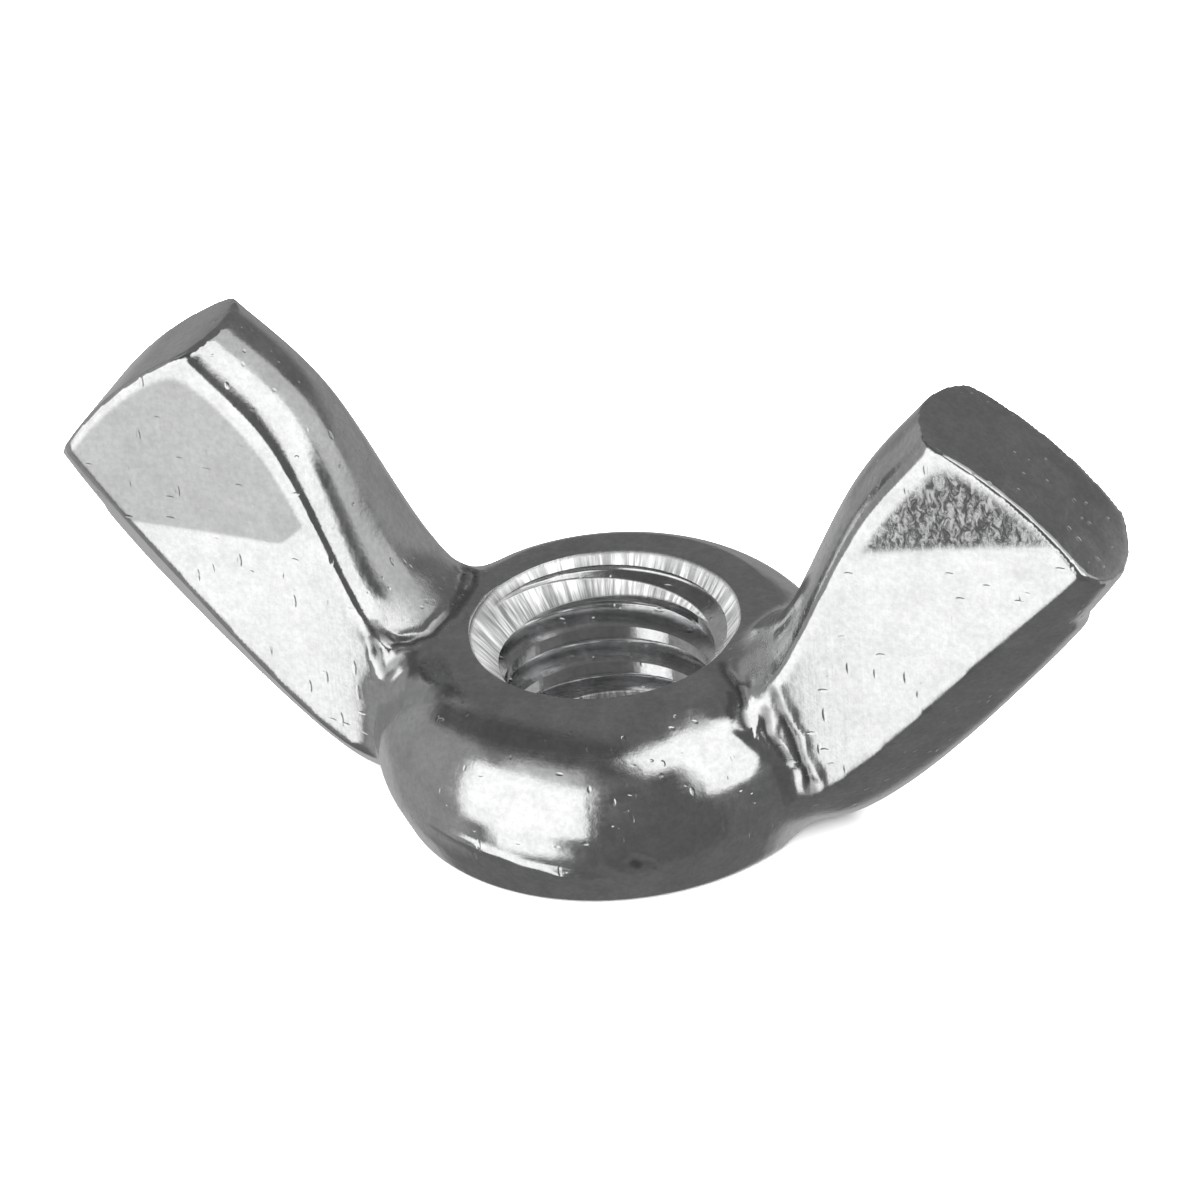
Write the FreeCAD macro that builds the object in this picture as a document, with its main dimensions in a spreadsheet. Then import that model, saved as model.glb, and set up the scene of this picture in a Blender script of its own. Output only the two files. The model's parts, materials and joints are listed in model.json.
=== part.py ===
"""M6 wing nut of the American form: one cold-forged body with a low barrel hub, two flat-sided wings
and a tapped through bore.

Frame: millimetres, +Z up along the bore, origin at the centre of the bearing face, wings along X.
"""

import FreeCAD, Part

import os

import Sketcher

PARTS_FOLDER = "parts"
NODE = "wing_nut"

# Driving dimensions: alias, value in mm (angles in degrees), meaning.
DIMENSIONS = [
    ("hub_height", 4.35, "bearing face to the flat ring round the bore"),
    ("hub_radius", 5.6, "widest part of the barrel side"),
    ("belly_drop", 2.15, "how far that widest part is below the top"),
    ("seat_inset", 0.45, "how far the edge of the bearing face is inside the widest part"),
    ("crease_inset", 0.1, "how far the parting crease is inside the widest part"),
    ("crease_height", 0.95, "height of the crease"),
    ("ring_width", 0.85, "width of the flat ring round the countersink"),
    ("thread_diameter", 6.0, "nominal thread diameter"),
    ("thread_pitch", 1.0, "coarse thread"),
    ("countersink_margin", 0.1, "how far a mouth is wider than the thread, at its edge"),
    ("countersink_depth", 0.85, "depth of each countersink"),
    ("root_margin", 0.3, "how far outside the mouth the wing's root starts"),
    ("root_drop", 1.05, "top of the wing's root below the top of the hub"),
    ("root_width", 1.7, "wing width there"),
    ("neck_inset", 0.56, "inner corner of the neck, inside the widest part of the hub"),
    ("neck_rise", 0.36, "that edge above the ring"),
    ("neck_width", 2.78, "wing width there"),
    ("neck_angle", 74.0, "slope of that section below the horizontal"),
    ("waist_setback", 2.13, "inner corner of the middle section, nearer the axis than the end's"),
    ("waist_rise", 4.64, "inner corner of the middle section, above the hub"),
    ("waist_width", 4.15, "wing width halfway up"),
    ("waist_angle", 50.0, "slope of that section"),
    ("tip_reach", 12.26, "outer corner of the wing's end, from the axis"),
    ("tip_rise", 7.02, "inner corner of the end, above the hub"),
    ("tip_width", 4.0, "wing width at its end"),
    ("tip_angle", 40.5, "slope of the end"),
    ("root_thickness", 4.4, "wing thickness inside the hub"),
    ("neck_thickness", 3.7, "wing thickness where it leaves the hub"),
    ("waist_thickness", 3.0, "wing thickness halfway up"),
    ("tip_thickness", 2.85, "wing thickness at its end"),
    ("inner_bulge", 0.85, "bulge of a wing's inner edge beyond its flat faces"),
    ("outer_bulge", 1.35, "bulge of a wing's outer edge beyond its flat faces"),
    ("wing_lean", 0.4, "how far the wings' middle plane stands in front of the bore's axis"),
    ("tip_crown", 0.25, "rise of the crowned end face"),
    ("tip_overrun", 1.5, "how far the end's trimming arc runs past both corners"),
    ("junction_fillet", 0.8, "rounding where the wings run into the hub"),
    ("end_fillet", 0.3, "rounding round the end face"),
]


# Sizes that follow from the ones above.
BORE_RADIUS = "(dims.thread_diameter / 2 - dims.thread_pitch / 2)"
MOUTH_RADIUS = "(dims.thread_diameter / 2 + dims.countersink_margin)"
ROOT_X = f"({MOUTH_RADIUS} + dims.root_margin)"
ROOT_TOP = "dims.hub_height - dims.root_drop"
NECK_X = "(dims.hub_radius - dims.neck_inset)"
TIP_INNER_X = "(dims.tip_reach - dims.tip_width * cos(dims.tip_angle * 1 deg))"
TIP_INNER_Z = "(dims.hub_height + dims.tip_rise)"
WAIST_X = f"{TIP_INNER_X} - dims.waist_setback"
RING_RADIUS = f"({MOUTH_RADIUS} + dims.ring_width)"
BELLY_Z = "dims.hub_height - dims.belly_drop"


def make_sheet(doc):
    """The spreadsheet of driving dimensions, one alias to a cell."""
    sheet = doc.addObject("Spreadsheet::Sheet", "dims")
    for row, (alias, value, meaning) in enumerate(DIMENSIONS, start=1):
        sheet.set(f"A{row}", alias)
        sheet.set(f"B{row}", str(value))
        sheet.set(f"C{row}", meaning)
        sheet.setAlias(f"B{row}", alias)
    doc.recompute()
    return sheet


def origin_feature(body, role):
    """A plane or axis of the body's own origin."""
    return next(f for f in body.Origin.OriginFeatures if f.Role == role)


def new_sketch(body, name, plane_role):
    """An empty sketch on one of the body's origin planes."""
    sketch = body.newObject("Sketcher::SketchObject", name)
    sketch.AttachmentSupport = [(origin_feature(body, plane_role), "")]
    sketch.MapMode = "FlatFace"
    return sketch


def pin_point(sketch, geometry, position, where, label):
    """Ties a sketch point to two expressions, its distances from the sketch's origin."""
    for kind, expression, axis in (("DistanceX", where[0], "x"), ("DistanceY", where[1], "y")):
        start = value_of(sketch, expression)
        index = sketch.addConstraint(Sketcher.Constraint(kind, -1, 1, geometry, position, start))
        sketch.renameConstraint(index, f"{label}_{axis}")
        sketch.setExpression(f"Constraints.{label}_{axis}", expression)


def value_of(sketch, expression):
    """The number that an expression has now, to place geometry near its solved position."""
    return float(sketch.evalExpression(expression))


def closed_profile(sketch, corners, vias=None):
    """A closed outline. corners is a list of (x, y) expressions; vias maps a side's number to the
    (x, y) expressions of a point that makes that side an arc."""
    vias = vias or {}
    points = [FreeCAD.Vector(value_of(sketch, x), value_of(sketch, y), 0) for x, y in corners]
    count = len(points)
    ends = []
    for side in range(count):
        a, b = points[side], points[(side + 1) % count]
        if side not in vias:
            index = sketch.addGeometry(Part.LineSegment(a, b), False)
            ends.append((index, 1, 2))
            continue
        mid = FreeCAD.Vector(*[value_of(sketch, e) for e in vias[side]], 0)
        index = sketch.addGeometry(Part.Arc(a, mid, b), False)
        forward = sketch.getPoint(index, 1).distanceToPoint(a) < 1e-6
        ends.append((index, 1, 2) if forward else (index, 2, 1))
    for side in range(count):
        this, following = ends[side], ends[(side + 1) % count]
        sketch.addConstraint(
            Sketcher.Constraint("Coincident", this[0], this[2], following[0], following[1])
        )
        pin_point(sketch, this[0], this[1], corners[side], f"corner{side}")
    for side, where in vias.items():
        mid = FreeCAD.Vector(*[value_of(sketch, e) for e in where], 0)
        index = sketch.addGeometry(Part.Point(mid), True)
        pin_point(sketch, index, 1, where, f"via{side}")
        sketch.addConstraint(Sketcher.Constraint("PointOnObject", index, 1, ends[side][0]))


def hub(body):
    """The barrel hub, a full turn of its half section."""
    sketch = new_sketch(body, "hub_section", "XZ_Plane")
    closed_profile(
        sketch,
        [
            ("0", "0"),
            ("dims.hub_radius - dims.seat_inset", "0"),
            ("dims.hub_radius - dims.crease_inset", "dims.crease_height"),
            (RING_RADIUS, "dims.hub_height"),
            ("0", "dims.hub_height"),
        ],
        vias={2: ("dims.hub_radius", BELLY_Z)},
    )
    turn = body.newObject("PartDesign::Revolution", "hub_turn")
    turn.Profile = sketch
    turn.ReferenceAxis = (sketch, ["V_Axis"])
    turn.Angle = 360.0
    return turn


def wing_section(body, name, corner_x, corner_z, slope, width, thickness):
    """One cross-section of a wing: flat front and back, bulged inner and outer edges. The sketch's
    origin is the inner edge, its X runs to the outer edge and its Y is the thickness."""
    sketch = new_sketch(body, name, "XY_Plane")
    sketch.AttachmentOffset = FreeCAD.Placement(
        FreeCAD.Vector(5, 0, 5), FreeCAD.Rotation(FreeCAD.Vector(0, 1, 0), 45)
    )
    sketch.setExpression("AttachmentOffset.Base.x", corner_x)
    sketch.setExpression("AttachmentOffset.Base.z", corner_z)
    sketch.setExpression("AttachmentOffset.Rotation.Angle", slope)
    front = f"-dims.wing_lean - {thickness} / 2"
    behind = f"-dims.wing_lean + {thickness} / 2"
    closed_profile(
        sketch,
        [("0", front), (width, front), (width, behind), ("0", behind)],
        vias={
            1: (f"{width} + dims.outer_bulge", "-dims.wing_lean"),
            3: ("-dims.inner_bulge", "-dims.wing_lean"),
        },
    )
    return sketch


def wing(body):
    """The +X wing, lofted from inside the hub to just past its end, then trimmed to a crowned end."""
    slope = "dims.tip_angle * 1 deg"
    sections = [
        wing_section(body, "root_section", ROOT_X, ROOT_TOP, "90 deg", "dims.root_width",
                     "dims.root_thickness"),
        wing_section(body, "neck_section", NECK_X, "dims.hub_height + dims.neck_rise",
                     "dims.neck_angle * 1 deg", "dims.neck_width", "dims.neck_thickness"),
        wing_section(body, "waist_section", WAIST_X, "dims.hub_height + dims.waist_rise",
                     "dims.waist_angle * 1 deg", "dims.waist_width", "dims.waist_thickness"),
        wing_section(body, "tip_section", f"{TIP_INNER_X} + dims.tip_crown * sin({slope})",
                     f"{TIP_INNER_Z} + dims.tip_crown * cos({slope})", slope,
                     "dims.tip_width", "dims.tip_thickness"),
    ]
    loft = body.newObject("PartDesign::AdditiveLoft", "wing_loft")
    loft.Profile = sections[0]
    loft.Sections = [(section, [""]) for section in sections[1:]]
    loft.Ruled = False
    loft.Refine = False

    def from_inner_corner(along, above):
        """A point given along the end from its inner corner, and above the line of the end."""
        return (f"{TIP_INNER_X} + ({along}) * cos({slope}) + ({above}) * sin({slope})",
                f"{TIP_INNER_Z} - ({along}) * sin({slope}) + ({above}) * cos({slope})")

    trim = new_sketch(body, "tip_trim", "XZ_Plane")
    side = "(dims.tip_width / 2 + dims.tip_overrun)"
    drop = f"dims.tip_crown * (1 - ({side} / (dims.tip_width / 2)) ^ 2)"
    closed_profile(
        trim,
        [
            from_inner_corner("-dims.tip_overrun", drop),
            from_inner_corner("dims.tip_width + dims.tip_overrun", drop),
            from_inner_corner("dims.tip_width + dims.tip_overrun", "dims.tip_width"),
            from_inner_corner("-dims.tip_overrun", "dims.tip_width"),
        ],
        vias={0: from_inner_corner("dims.tip_width / 2", "dims.tip_crown")},
    )
    crown = body.newObject("PartDesign::Pocket", "tip_crown_cut")
    crown.Profile = trim
    crown.SideType = "Symmetric"
    crown.Refine = False
    crown.setExpression("Length", "4 * dims.tip_thickness")
    return [loft, crown]


def mirror_wing(body, features):
    """The -X wing, a mirror image of the first."""
    mirror = body.newObject("PartDesign::Mirrored", "opposite_wing")
    mirror.Originals = features
    mirror.MirrorPlane = (origin_feature(body, "YZ_Plane"), [""])
    mirror.Refine = False
    body.Tip = mirror
    return mirror


def edges_between(shape, first, second):
    """Names of the edges with one face that passes the first test and one that passes the second."""
    names = []
    for number, edge in enumerate(shape.Edges, start=1):
        sides = [face for face in shape.Faces if any(own.isSame(edge) for own in face.Edges)]
        if len(sides) != 2:
            continue
        one, other = sides
        if (first(one) and second(other)) or (first(other) and second(one)):
            names.append(f"Edge{number}")
    return names


def is_wing_side(face):
    return face.Surface.TypeId == "Part::GeomBSplineSurface"


def is_wing_end(face):
    return face.Surface.TypeId == "Part::GeomCylinder"


def is_hub(face):
    """Any face of the hub. Its barrel is a torus, or a plain surface of revolution where the
    arc's radius is larger than its centre's distance from the axis."""
    return face.Surface.TypeId in (
        "Part::GeomPlane",
        "Part::GeomCone",
        "Part::GeomToroid",
        "Part::GeomSphere",
        "Part::GeomSurfaceOfRevolution",
    )


def round_edges(body, name, radius, first, second):
    """A fillet on every edge between the faces that pass the two tests."""
    base = body.Tip
    fillet = body.newObject("PartDesign::Fillet", name)
    fillet.Base = (base, edges_between(base.Shape, first, second))
    fillet.setExpression("Radius", radius)
    fillet.Refine = False
    return fillet


def bore(body):
    """The through bore, at the radius of the thread's crest. Its circle is four arcs, so that
    each quarter of the bore is a face of its own."""
    sketch = new_sketch(body, "bore_circle", "XY_Plane")
    across = BORE_RADIUS
    diagonal = f"{BORE_RADIUS} * cos(45 deg)"
    closed_profile(
        sketch,
        [(across, "0"), ("0", across), (f"-{across}", "0"), ("0", f"-{across}")],
        vias={
            0: (diagonal, diagonal),
            1: (f"-{diagonal}", diagonal),
            2: (f"-{diagonal}", f"-{diagonal}"),
            3: (diagonal, f"-{diagonal}"),
        },
    )
    pocket = body.newObject("PartDesign::Pocket", "bore_cut")
    pocket.Profile = sketch
    pocket.SideType = "Symmetric"
    pocket.Refine = False
    pocket.setExpression("Length", "4 * dims.hub_height")
    return pocket


def countersink(body, name, mouth, inward):
    """The conical mouth at one end of the bore. mouth is the height of that end's face and
    inward is the sign of the way into the bore."""
    near = f"{BORE_RADIUS} / 2"
    depth = (
        f"dims.countersink_depth * ({MOUTH_RADIUS} - {near})"
        f" / ({MOUTH_RADIUS} - {BORE_RADIUS})"
    )
    sketch = new_sketch(body, f"{name}_section", "XZ_Plane")
    closed_profile(
        sketch,
        [
            (near, f"{mouth} - {inward} * dims.thread_pitch"),
            (MOUTH_RADIUS, f"{mouth} - {inward} * dims.thread_pitch"),
            (MOUTH_RADIUS, mouth),
            (near, f"{mouth} + {inward} * {depth}"),
        ],
    )
    groove = body.newObject("PartDesign::Groove", f"{name}_cut")
    groove.Profile = sketch
    groove.ReferenceAxis = (sketch, ["V_Axis"])
    groove.Angle = 360.0
    groove.Refine = False
    return groove


def thread(body):
    """The right-hand internal thread: a 60 degree groove whose root is an eighth of a pitch wide."""
    sketch = new_sketch(body, "thread_groove_section", "XZ_Plane")
    inside = f"({BORE_RADIUS} - dims.thread_pitch / 10)"
    root = "(dims.thread_diameter / 2)"
    half_root = "dims.thread_pitch / 16"
    half_mouth = f"{half_root} + ({root} - {inside}) * tan(30 deg)"
    start = "dims.thread_pitch"
    closed_profile(
        sketch,
        [
            (inside, f"-{start} - ({half_mouth})"),
            (root, f"-{start} - {half_root}"),
            (root, f"-{start} + {half_root}"),
            (inside, f"-{start} + ({half_mouth})"),
        ],
    )
    helix = body.newObject("PartDesign::SubtractiveHelix", "thread_cut")
    helix.Profile = sketch
    helix.ReferenceAxis = (sketch, ["V_Axis"])
    helix.Mode = "pitch-height-angle"
    helix.LeftHanded = False
    helix.Refine = False
    helix.setExpression("Pitch", "dims.thread_pitch")
    helix.setExpression("Height", "dims.hub_height + 2 * dims.thread_pitch")
    return helix


def check_document(doc):
    """Stops the build on any object that failed to compute or has an empty or invalid shape."""
    for item in doc.Objects:
        if "Invalid" in item.State or "Error" in item.State:
            raise RuntimeError(f"{item.Name} failed: {item.State}")
        if hasattr(item, "Shape") and item.TypeId.startswith("PartDesign::"):
            if item.Shape.isNull() or not item.Shape.isValid():
                raise RuntimeError(f"{item.Name} has a bad shape")


def main():
    doc = FreeCAD.newDocument(NODE)
    make_sheet(doc)
    body = doc.addObject("PartDesign::Body", NODE)
    body.Label = NODE
    hub(body)
    mirror_wing(body, wing(body))
    doc.recompute()
    round_edges(body, "wing_end_rounding", "dims.end_fillet", is_wing_side, is_wing_end)
    doc.recompute()
    round_edges(body, "junction_rounding", "dims.junction_fillet", is_wing_side, is_hub)
    bore(body)
    countersink(body, "lower_countersink", "0 * dims.hub_height", "1")
    countersink(body, "upper_countersink", "dims.hub_height", "-1")
    thread(body)
    doc.recompute()
    check_document(doc)
    os.makedirs(PARTS_FOLDER, exist_ok=True)
    body.Shape.exportStep(f"{PARTS_FOLDER}/{NODE}.step")


main()
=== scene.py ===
"""A forged, zinc-plated wing nut: its forging, its thread and the studio it stands in.

The forging is made the way the real one flows in its die: a barrel hub and two wings are shaped
on their own, united into one skin, and the places where they meet are let to flow together. The
bore, its mouths and the thread are then cut, as they are on the finished nut.
"""

import json
import logging
import math
from dataclasses import dataclass, field
from enum import Enum
from typing import Sequence

import bmesh
import bpy
from mathutils import Matrix, Vector, noise
from mathutils.bvhtree import BVHTree


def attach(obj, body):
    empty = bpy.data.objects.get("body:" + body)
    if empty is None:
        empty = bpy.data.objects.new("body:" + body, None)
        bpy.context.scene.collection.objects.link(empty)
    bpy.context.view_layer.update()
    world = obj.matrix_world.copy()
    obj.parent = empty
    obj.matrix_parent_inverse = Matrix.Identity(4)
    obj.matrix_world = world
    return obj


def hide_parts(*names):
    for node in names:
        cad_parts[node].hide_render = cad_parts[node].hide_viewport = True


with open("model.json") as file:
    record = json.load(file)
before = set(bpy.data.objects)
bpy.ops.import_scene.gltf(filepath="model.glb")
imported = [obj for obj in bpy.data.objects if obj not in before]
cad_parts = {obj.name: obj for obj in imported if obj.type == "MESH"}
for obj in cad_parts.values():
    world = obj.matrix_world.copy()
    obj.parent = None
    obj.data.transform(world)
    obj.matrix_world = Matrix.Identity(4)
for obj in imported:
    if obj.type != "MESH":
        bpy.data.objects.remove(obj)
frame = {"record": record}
log = logging.getLogger("wing_nut")
MM = 0.001
THREAD = next(mount for mount in frame["record"]["mounts"] if mount["name"] == "thread")


class Side(Enum):
    """The side of the bore that a wing stands on."""

    LEFT = -1.0
    RIGHT = 1.0


def smooth_step(low: float, high: float, value: float) -> float:
    """A soft ramp from 0 to 1.

    Args:
        low: where the ramp starts.
        high: where the ramp ends.
        value: where the ramp is read.

    Returns:
        0 at low and before, 1 at high and after, and a smooth blend between.
    """
    t = min(1.0, max(0.0, (value - low) / (high - low)))
    return t * t * (3.0 - 2.0 * t)


def between(values: Sequence[float], t: float) -> float:
    """A smooth curve through evenly spaced values.

    Args:
        values: the values that the curve passes through.
        t: place along the curve, from 0 to 1.

    Returns:
        The value of a Catmull-Rom curve at t.
    """
    last = len(values) - 1
    s = min(max(t, 0.0), 1.0) * last
    i = min(int(s), last - 1)
    f = s - i
    a = values[max(i - 1, 0)] if i > 0 else 2 * values[0] - values[1]
    b, c = values[i], values[i + 1]
    d = values[i + 2] if i + 2 <= last else 2 * values[last] - values[last - 1]
    return 0.5 * (2 * b + (c - a) * f + (2 * a - 5 * b + 4 * c - d) * f * f
                  + (3 * b - a - 3 * c + d) * f ** 3)


def heading(azimuth: float, elevation: float) -> Vector:
    """A direction in the studio.

    Args:
        azimuth: degrees from the nut's front towards its right wing.
        elevation: degrees up from the floor.

    Returns:
        The unit vector that points that way.
    """
    turn, rise = math.radians(azimuth), math.radians(elevation)
    return Vector((math.sin(turn) * math.cos(rise), -math.cos(turn) * math.cos(rise),
                   math.sin(rise)))


def object_from(mesh: bmesh.types.BMesh, name: str) -> bpy.types.Object:
    """Puts a finished bmesh into the scene.

    Args:
        mesh: the mesh, in metres. It is freed.
        name: the new object's name.

    Returns:
        The new object, at the origin.
    """
    data = bpy.data.meshes.new(name)
    mesh.to_mesh(data)
    mesh.free()
    made = bpy.data.objects.new(name, data)
    bpy.context.scene.collection.objects.link(made)
    return made


def bmesh_of(source: bpy.types.Object) -> bmesh.types.BMesh:
    """A bmesh of an object's own mesh.

    Args:
        source: the object.

    Returns:
        The copy.
    """
    mesh = bmesh.new()
    mesh.from_mesh(source.data)
    return mesh


def discard(spent: bpy.types.Object) -> None:
    """Takes a helper object and its mesh out of the file.

    Args:
        spent: the object.
    """
    data = spent.data
    bpy.data.objects.remove(spent)
    bpy.data.meshes.remove(data)


def apply_modifiers(target: bpy.types.Object) -> None:
    """Replaces an object's mesh with what its modifiers make of it.

    Args:
        target: the object, whose modifiers are then removed.
    """
    graph = bpy.context.evaluated_depsgraph_get()
    graph.update()
    done = bpy.data.meshes.new_from_object(target.evaluated_get(graph))
    old = target.data
    target.modifiers.clear()
    target.data = done
    bpy.data.meshes.remove(old)


@dataclass
class Hub:
    """The barrel hub, a solid of revolution before it is bored. Sizes in millimetres."""

    height: float = round(2 * THREAD["pos_m"][2] / MM, 6)
    seat_radius: float = 5.15
    crease_radius: float = 5.5
    crease_height: float = 0.95
    belly_radius: float = 5.6
    belly_height: float = 2.2
    ring_radius: float = 3.95
    seat_ease: float = 0.12
    barrel_steps: int = 20
    steps: int = 96

    def outline(self) -> list[Vector]:
        """The half section, from the axis along the seat and up the barrel to the axis again.

        Returns:
            Points in the XZ plane, in millimetres.
        """
        a = Vector((self.crease_radius, self.crease_height))
        b = Vector((self.belly_radius, self.belly_height))
        c = Vector((self.ring_radius, self.height))
        d = 2 * (a.x * (b.y - c.y) + b.x * (c.y - a.y) + c.x * (a.y - b.y))
        aa, bb, cc = a.length_squared, b.length_squared, c.length_squared
        centre = Vector(((aa * (b.y - c.y) + bb * (c.y - a.y) + cc * (a.y - b.y)) / d,
                         (aa * (c.x - b.x) + bb * (a.x - c.x) + cc * (b.x - a.x)) / d))
        radius = (a - centre).length
        start = math.atan2(a.y - centre.y, a.x - centre.x)
        end = math.atan2(c.y - centre.y, c.x - centre.x)
        turns = (start + (end - start) * i / self.barrel_steps
                 for i in range(self.barrel_steps + 1))
        barrel = [centre + radius * Vector((math.cos(t), math.sin(t))) for t in turns]
        flat = [Vector((0.0, 0.0)), Vector((self.seat_radius - self.seat_ease, 0.0)),
                Vector((self.seat_radius, 0.1))]
        points = flat + barrel + [Vector((0.0, self.height))]
        return [Vector((p.x, 0.0, p.y)) for p in points]

    def build(self) -> bmesh.types.BMesh:
        """Spins the half section into a closed barrel.

        Returns:
            The barrel, in millimetres.
        """
        mesh = bmesh.new()
        verts = [mesh.verts.new(p) for p in self.outline()]
        edges = [mesh.edges.new(pair) for pair in zip(verts, verts[1:])]
        bmesh.ops.spin(mesh, geom=verts + edges, cent=(0, 0, 0), axis=(0, 0, 1),
                       angle=math.tau, steps=self.steps, use_merge=True)
        bmesh.ops.remove_doubles(mesh, verts=mesh.verts, dist=1e-5)
        bmesh.ops.recalc_face_normals(mesh, faces=mesh.faces)
        return mesh


@dataclass
class Wing:
    """One raised wing, swept from inside the hub to its end. Sizes in millimetres.

    Each list of values runs evenly along the wing, from its root to its end: the inner corner's
    place, the slope of the section in degrees below the horizontal, its width, the depths of its
    front and back faces, how far the outer edge stands out beyond them, and the slope of that
    edge's flanks. The outer edge steps in by notch_step at notch_at, near the end.
    """

    side: Side
    inner_x: tuple[float, ...] = (3.4, 5.04, 7.09, 9.22)
    inner_z: tuple[float, ...] = (3.3, 4.71, 8.99, 11.37)
    slope: tuple[float, ...] = (90.0, 74.0, 50.0, 40.5)
    width: tuple[float, ...] = (1.7, 2.95, 4.2, 4.3)
    front: tuple[float, ...] = (-2.6, -2.25, -1.88, -1.8)
    back: tuple[float, ...] = (2.1, 1.85, 1.3, 1.03)
    roll_radius: float = 0.35
    roll_turn: float = 46.0
    outer_bulge: tuple[float, ...] = (1.6, 1.6, 1.5, 1.05)
    outer_flank: tuple[float, ...] = (42.0, 42.0, 42.0, 30.0)
    crown: float = 0.25
    notch_at: float = 0.835
    notch_step: float = 0.12
    end_round: float = 0.16
    corner_round: float = 0.07
    levels: int = 80
    around: int = 16
    flats: int = 12

    def section(self, t: float) -> list[Vector]:
        """The closed outline of one cross-section.

        Args:
            t: place along the wing, from 0 at the root to 1 at the end.

        Returns:
            Points in order round the section, in millimetres.
        """
        slope = math.radians(between(self.slope, t))
        along = Vector((math.cos(slope), 0.0, -math.sin(slope)))
        corner = Vector((between(self.inner_x, t), 0.0, between(self.inner_z, t)))
        width = between(self.width, t)
        front, back = between(self.front, t), between(self.back, t)
        middle, half = (front + back) / 2, (back - front) / 2
        outer = between(self.outer_bulge, t)
        outer += self.notch_step * (1.0 - smooth_step(self.notch_at - 0.012, self.notch_at, t))
        outline = [(width * i / self.flats, front) for i in range(self.flats)]
        flank = math.tan(math.radians(between(self.outer_flank, t)))
        outline += self.ogive(width, outer, flank, middle, half)
        outline += [(width * (1 - i / self.flats), back) for i in range(self.flats)]
        outline += [(-across, 2 * middle - deep) for across, deep in self.rolled(middle, half)]
        points = [corner + along * across + Vector((0.0, deep, 0.0)) for across, deep in outline]
        return [Vector((p.x * self.side.value, p.y, p.z)) for p in points]

    def rolled(self, middle: float, half: float) -> list[tuple[float, float]]:
        """The inner edge of a section: tight corners that turn onto a broad curve.

        Args:
            middle: depth of the section's middle.
            half: half of the section's thickness.

        Returns:
            Pairs of the distance out from the face's edge and the depth, without the last corner.
        """
        turn, tight = math.radians(self.roll_turn), self.roll_radius
        broad = (half - tight * (1 - math.cos(turn))) / math.cos(turn)
        quarter = []
        for i in range(4):
            a = turn * i / 4
            quarter.append((tight * math.sin(a), half - tight * (1 - math.cos(a))))
        for i in range(7):
            a = turn + (math.pi / 2 - turn) * i / 6
            out = tight * math.sin(turn) + broad * (math.sin(a) - math.sin(turn))
            quarter.append((out, broad * math.cos(a)))
        front = [(out, middle - deep) for out, deep in quarter]
        back = [(out, middle + deep) for out, deep in reversed(quarter[:-1])]
        return front + back[:-1]

    def ogive(self, start: float, reach: float, flank: float, middle: float, half: float
              ) -> list[tuple[float, float]]:
        """The outer edge of a section: two flanks that meet in a rounded nose.

        Args:
            start: how far across the section the edge begins.
            reach: how far the nose stands out.
            flank: slope of the flanks where they leave the faces.
            middle: depth of the section's middle.
            half: half of the section's thickness.

        Returns:
            Pairs of the place across the section and its depth, without the last corner.
        """
        shoulder = half - reach * flank
        steps = self.around // 2
        points = []
        for i in range(steps + 1):
            t = i / steps
            across = reach * (2 * t * (1 - t) + t * t)
            deep = half * (1 - t) ** 2 + shoulder * 2 * t * (1 - t)
            points.append((start + across, deep))
        front = [(across, middle - deep) for across, deep in points]
        back = [(across, middle + deep) for across, deep in reversed(points[:-1])]
        return front + back[:-1]

    def build(self) -> bmesh.types.BMesh:
        """Bridges the cross-sections into a closed wing and eases its corners.

        Returns:
            The wing, in millimetres.
        """
        mesh = bmesh.new()
        corners = (self.flats, self.flats + self.around)
        previous: list[bmesh.types.BMEdge] = []
        last: list[bmesh.types.BMVert] = []
        ridges: list[bmesh.types.BMEdge] = []
        for level in range(self.levels + 1):
            ring = [mesh.verts.new(p) for p in self.section(level / self.levels)]
            loop = [mesh.edges.new(pair) for pair in zip(ring, ring[1:] + ring[:1])]
            if previous:
                bmesh.ops.bridge_loops(mesh, edges=previous + loop)
                ridges += [edge for corner in corners for edge in ring[corner].link_edges
                           if edge.other_vert(ring[corner]) is last[corner]]
            previous, last = loop, ring
        bmesh.ops.bevel(mesh, geom=ridges, affect="EDGES", offset=self.corner_round,
                        offset_type="OFFSET", segments=2, profile=0.5, material=-1,
                        clamp_overlap=True)
        bmesh.ops.holes_fill(mesh, edges=mesh.edges)
        end = max(mesh.faces, key=lambda face: face.calc_center_median().z)
        bmesh.ops.bevel(mesh, geom=list(end.edges), affect="EDGES", offset=self.end_round,
                        offset_type="OFFSET", segments=3, profile=0.5, material=-1,
                        clamp_overlap=True)
        bmesh.ops.recalc_face_normals(mesh, faces=mesh.faces)
        return mesh

    def frame_at(self, t: float) -> tuple[Vector, Vector, Vector]:
        """The inner corner of a section, its direction across and the way along the wing.

        Args:
            t: place along the wing, from 0 at the root to 1 at the end.

        Returns:
            The corner, the direction across the section, and the direction out along the wing.
        """
        slope = math.radians(between(self.slope, t))
        corner = Vector((between(self.inner_x, t) * self.side.value, 0.0,
                         between(self.inner_z, t)))
        along = Vector((math.cos(slope) * self.side.value, 0.0, -math.sin(slope)))
        out = Vector((math.sin(slope) * self.side.value, 0.0, math.cos(slope)))
        return corner, along, out

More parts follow.
